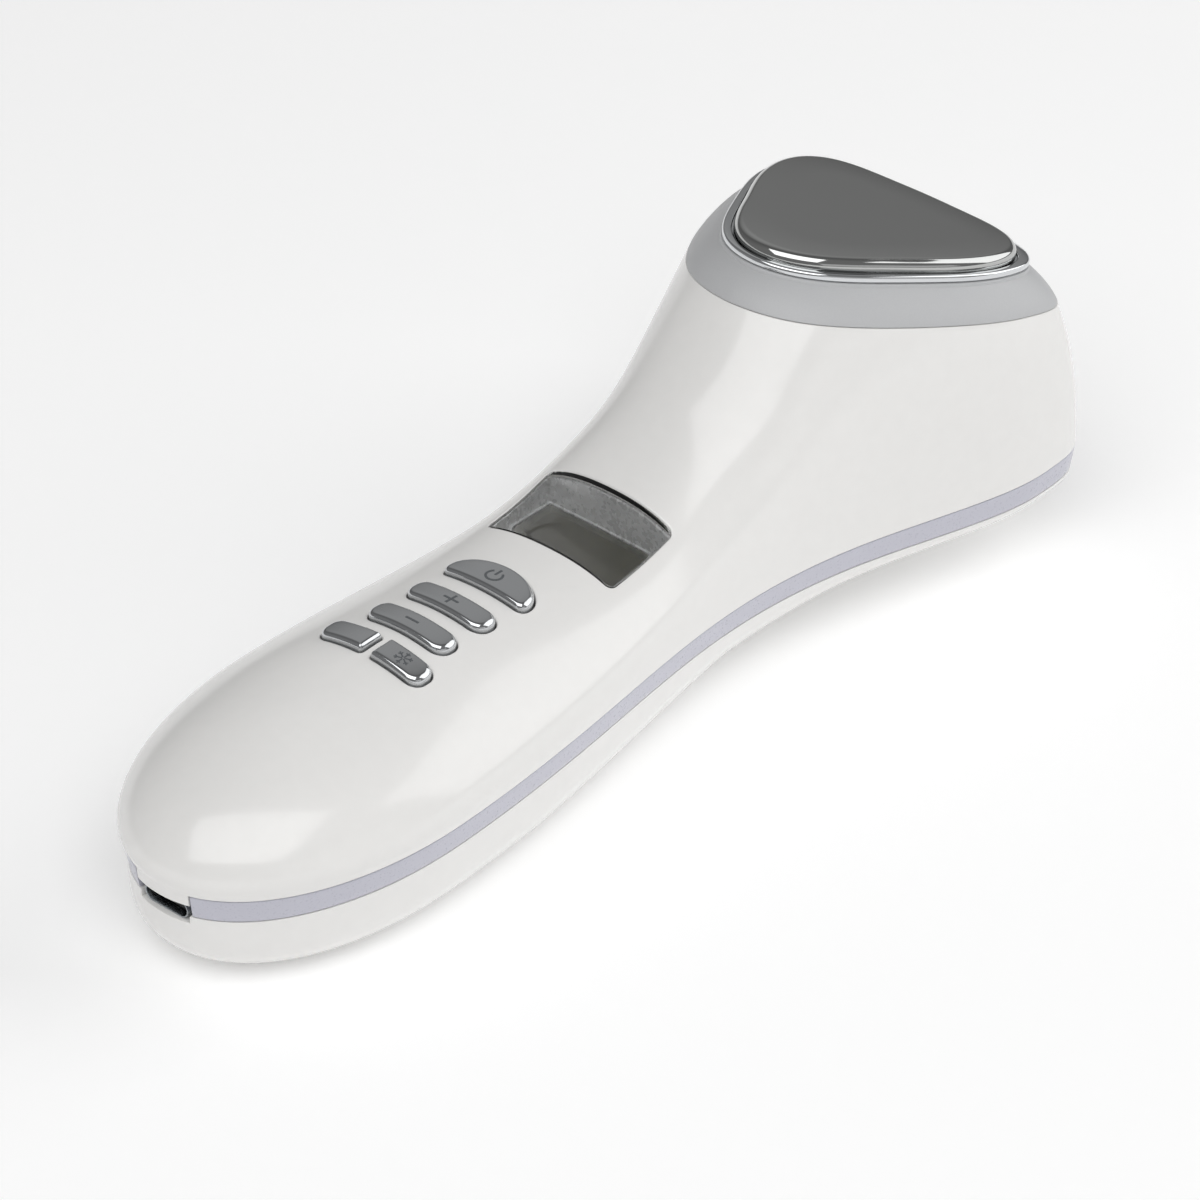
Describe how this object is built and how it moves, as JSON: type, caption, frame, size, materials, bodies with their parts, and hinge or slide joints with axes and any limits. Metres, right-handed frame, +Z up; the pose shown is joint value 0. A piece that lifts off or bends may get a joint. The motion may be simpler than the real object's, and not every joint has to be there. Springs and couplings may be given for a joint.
{
  "type": "hot and cold facial massager",
  "caption": "Hammer-shaped hot and cold facial massager with polished tilted treatment plate, light ring, display window and chrome keys.",
  "frame": {"origin": "centre of the body's footprint, on the surface that its keel flat stands on", "axes": "+X from the tail towards the head, +Z up out of the standing surface, +Y to the left of the handle"},
  "size_m": [0.1884, 0.0656, 0.0633],
  "materials": {
    "shell_white": "glossy moulded white ABS",
    "band_lavender": "satin lavender-grey painted plastic",
    "ring_frosted": "frosted light-guide plastic, grey when unlit",
    "trim_chrome": "chrome-plated ABS, mirror bright",
    "plate_polished": "polished aluminium treatment face, dark mirror",
    "lens_clear": "clear polycarbonate display window",
    "frame_silver": "silvered plastic display well",
    "lcd_glass": "segment liquid crystal glass, olive and unlit",
    "light_guide": "white diffuser",
    "board_green": "solder-masked glass-epoxy board",
    "chip_black": "black moulded plastic",
    "bright_steel": "plated steel",
    "cell_wrap": "blue shrink-wrapped cylindrical cell",
    "inner_plastic": "natural white moulded ABS",
    "ceramic_white": "white alumina plates with sealed edge",
    "sink_aluminium": "extruded aluminium, as drawn",
    "led_board_white": "white solder-masked board",
    "led_lens": "surface-mounted lamp, yellow phosphor",
    "key_chrome": "chrome-plated ABS key cap",
    "lead_red": "red insulated wire",
    "lead_black": "black insulated wire",
    "lead_blue": "blue insulated wire"
  },
  "bodies": {
    "housing": {"upper_shell": "shell_white", "lower_shell": "shell_white", "accent_band": "band_lavender", "light_ring": "ring_frosted", "plate_trim": "trim_chrome", "treatment_plate": "plate_polished", "display_window": "lens_clear", "display_frame": "frame_silver", "lcd_panel": "lcd_glass", "display_backlight": "light_guide", "main_board": "board_green", "controller_chip": "chip_black", "charge_board": "board_green", "usb_socket": "bright_steel", "usb_tongue": "chip_black", "battery_cell": "cell_wrap", "battery_cradle": "inner_plastic", "peltier_module": "ceramic_white", "heat_sink": "sink_aluminium", "sink_screw_left": "bright_steel", "sink_screw_right": "bright_steel", "temperature_sensor": "chip_black", "led_board": "led_board_white", "vibration_motor": "bright_steel", "motor_saddle": "inner_plastic", "battery_lead_red": "lead_red", "battery_lead_black": "lead_black", "peltier_lead_red": "lead_red", "peltier_lead_black": "lead_black", "motor_lead": "lead_blue", "power_switch": "chip_black", "plus_switch": "chip_black", "minus_switch": "chip_black", "heat_switch": "chip_black", "cool_switch": "chip_black", "led_1": "led_lens", "led_2": "led_lens", "led_3": "led_lens", "led_4": "led_lens", "led_5": "led_lens", "led_6": "led_lens", "board_screw_1": "bright_steel", "board_screw_2": "bright_steel", "board_screw_3": "bright_steel", "board_screw_4": "bright_steel", "shell_screw_1": "bright_steel", "shell_screw_2": "bright_steel", "shell_screw_3": "bright_steel", "shell_screw_4": "bright_steel"},
    "power_key": {"power_button": "key_chrome"},
    "plus_key": {"plus_button": "key_chrome"},
    "minus_key": {"minus_button": "key_chrome"},
    "heat_key": {"heat_button": "key_chrome"},
    "cool_key": {"cool_button": "key_chrome"},
    "motor_rotor": {"motor_weight": "bright_steel"}
  },
  "joints": [
    {"name": "power_press", "type": "slide", "parent": "housing", "child": "power_key", "axis": [0, 0, -1], "range_m": [0, 0.0004], "stiffness_N_per_m": 1200, "springref_m": -0.0003},
    {"name": "plus_press", "type": "slide", "parent": "housing", "child": "plus_key", "axis": [0, 0, -1], "range_m": [0, 0.0004], "stiffness_N_per_m": 1200, "springref_m": -0.0003},
    {"name": "minus_press", "type": "slide", "parent": "housing", "child": "minus_key", "axis": [0, 0, -1], "range_m": [0, 0.0004], "stiffness_N_per_m": 1200, "springref_m": -0.0003},
    {"name": "heat_press", "type": "slide", "parent": "housing", "child": "heat_key", "axis": [0, 0, -1], "range_m": [0, 0.0004], "stiffness_N_per_m": 1200, "springref_m": -0.0003},
    {"name": "cool_press", "type": "slide", "parent": "housing", "child": "cool_key", "axis": [0, 0, -1], "range_m": [0, 0.0004], "stiffness_N_per_m": 1200, "springref_m": -0.0003},
    {"name": "motor_spin", "type": "hinge", "parent": "housing", "child": "motor_rotor", "pos_m": [0.045, 0, 0.01395], "axis": [1, 0, 0], "continuous": true}
  ]
}
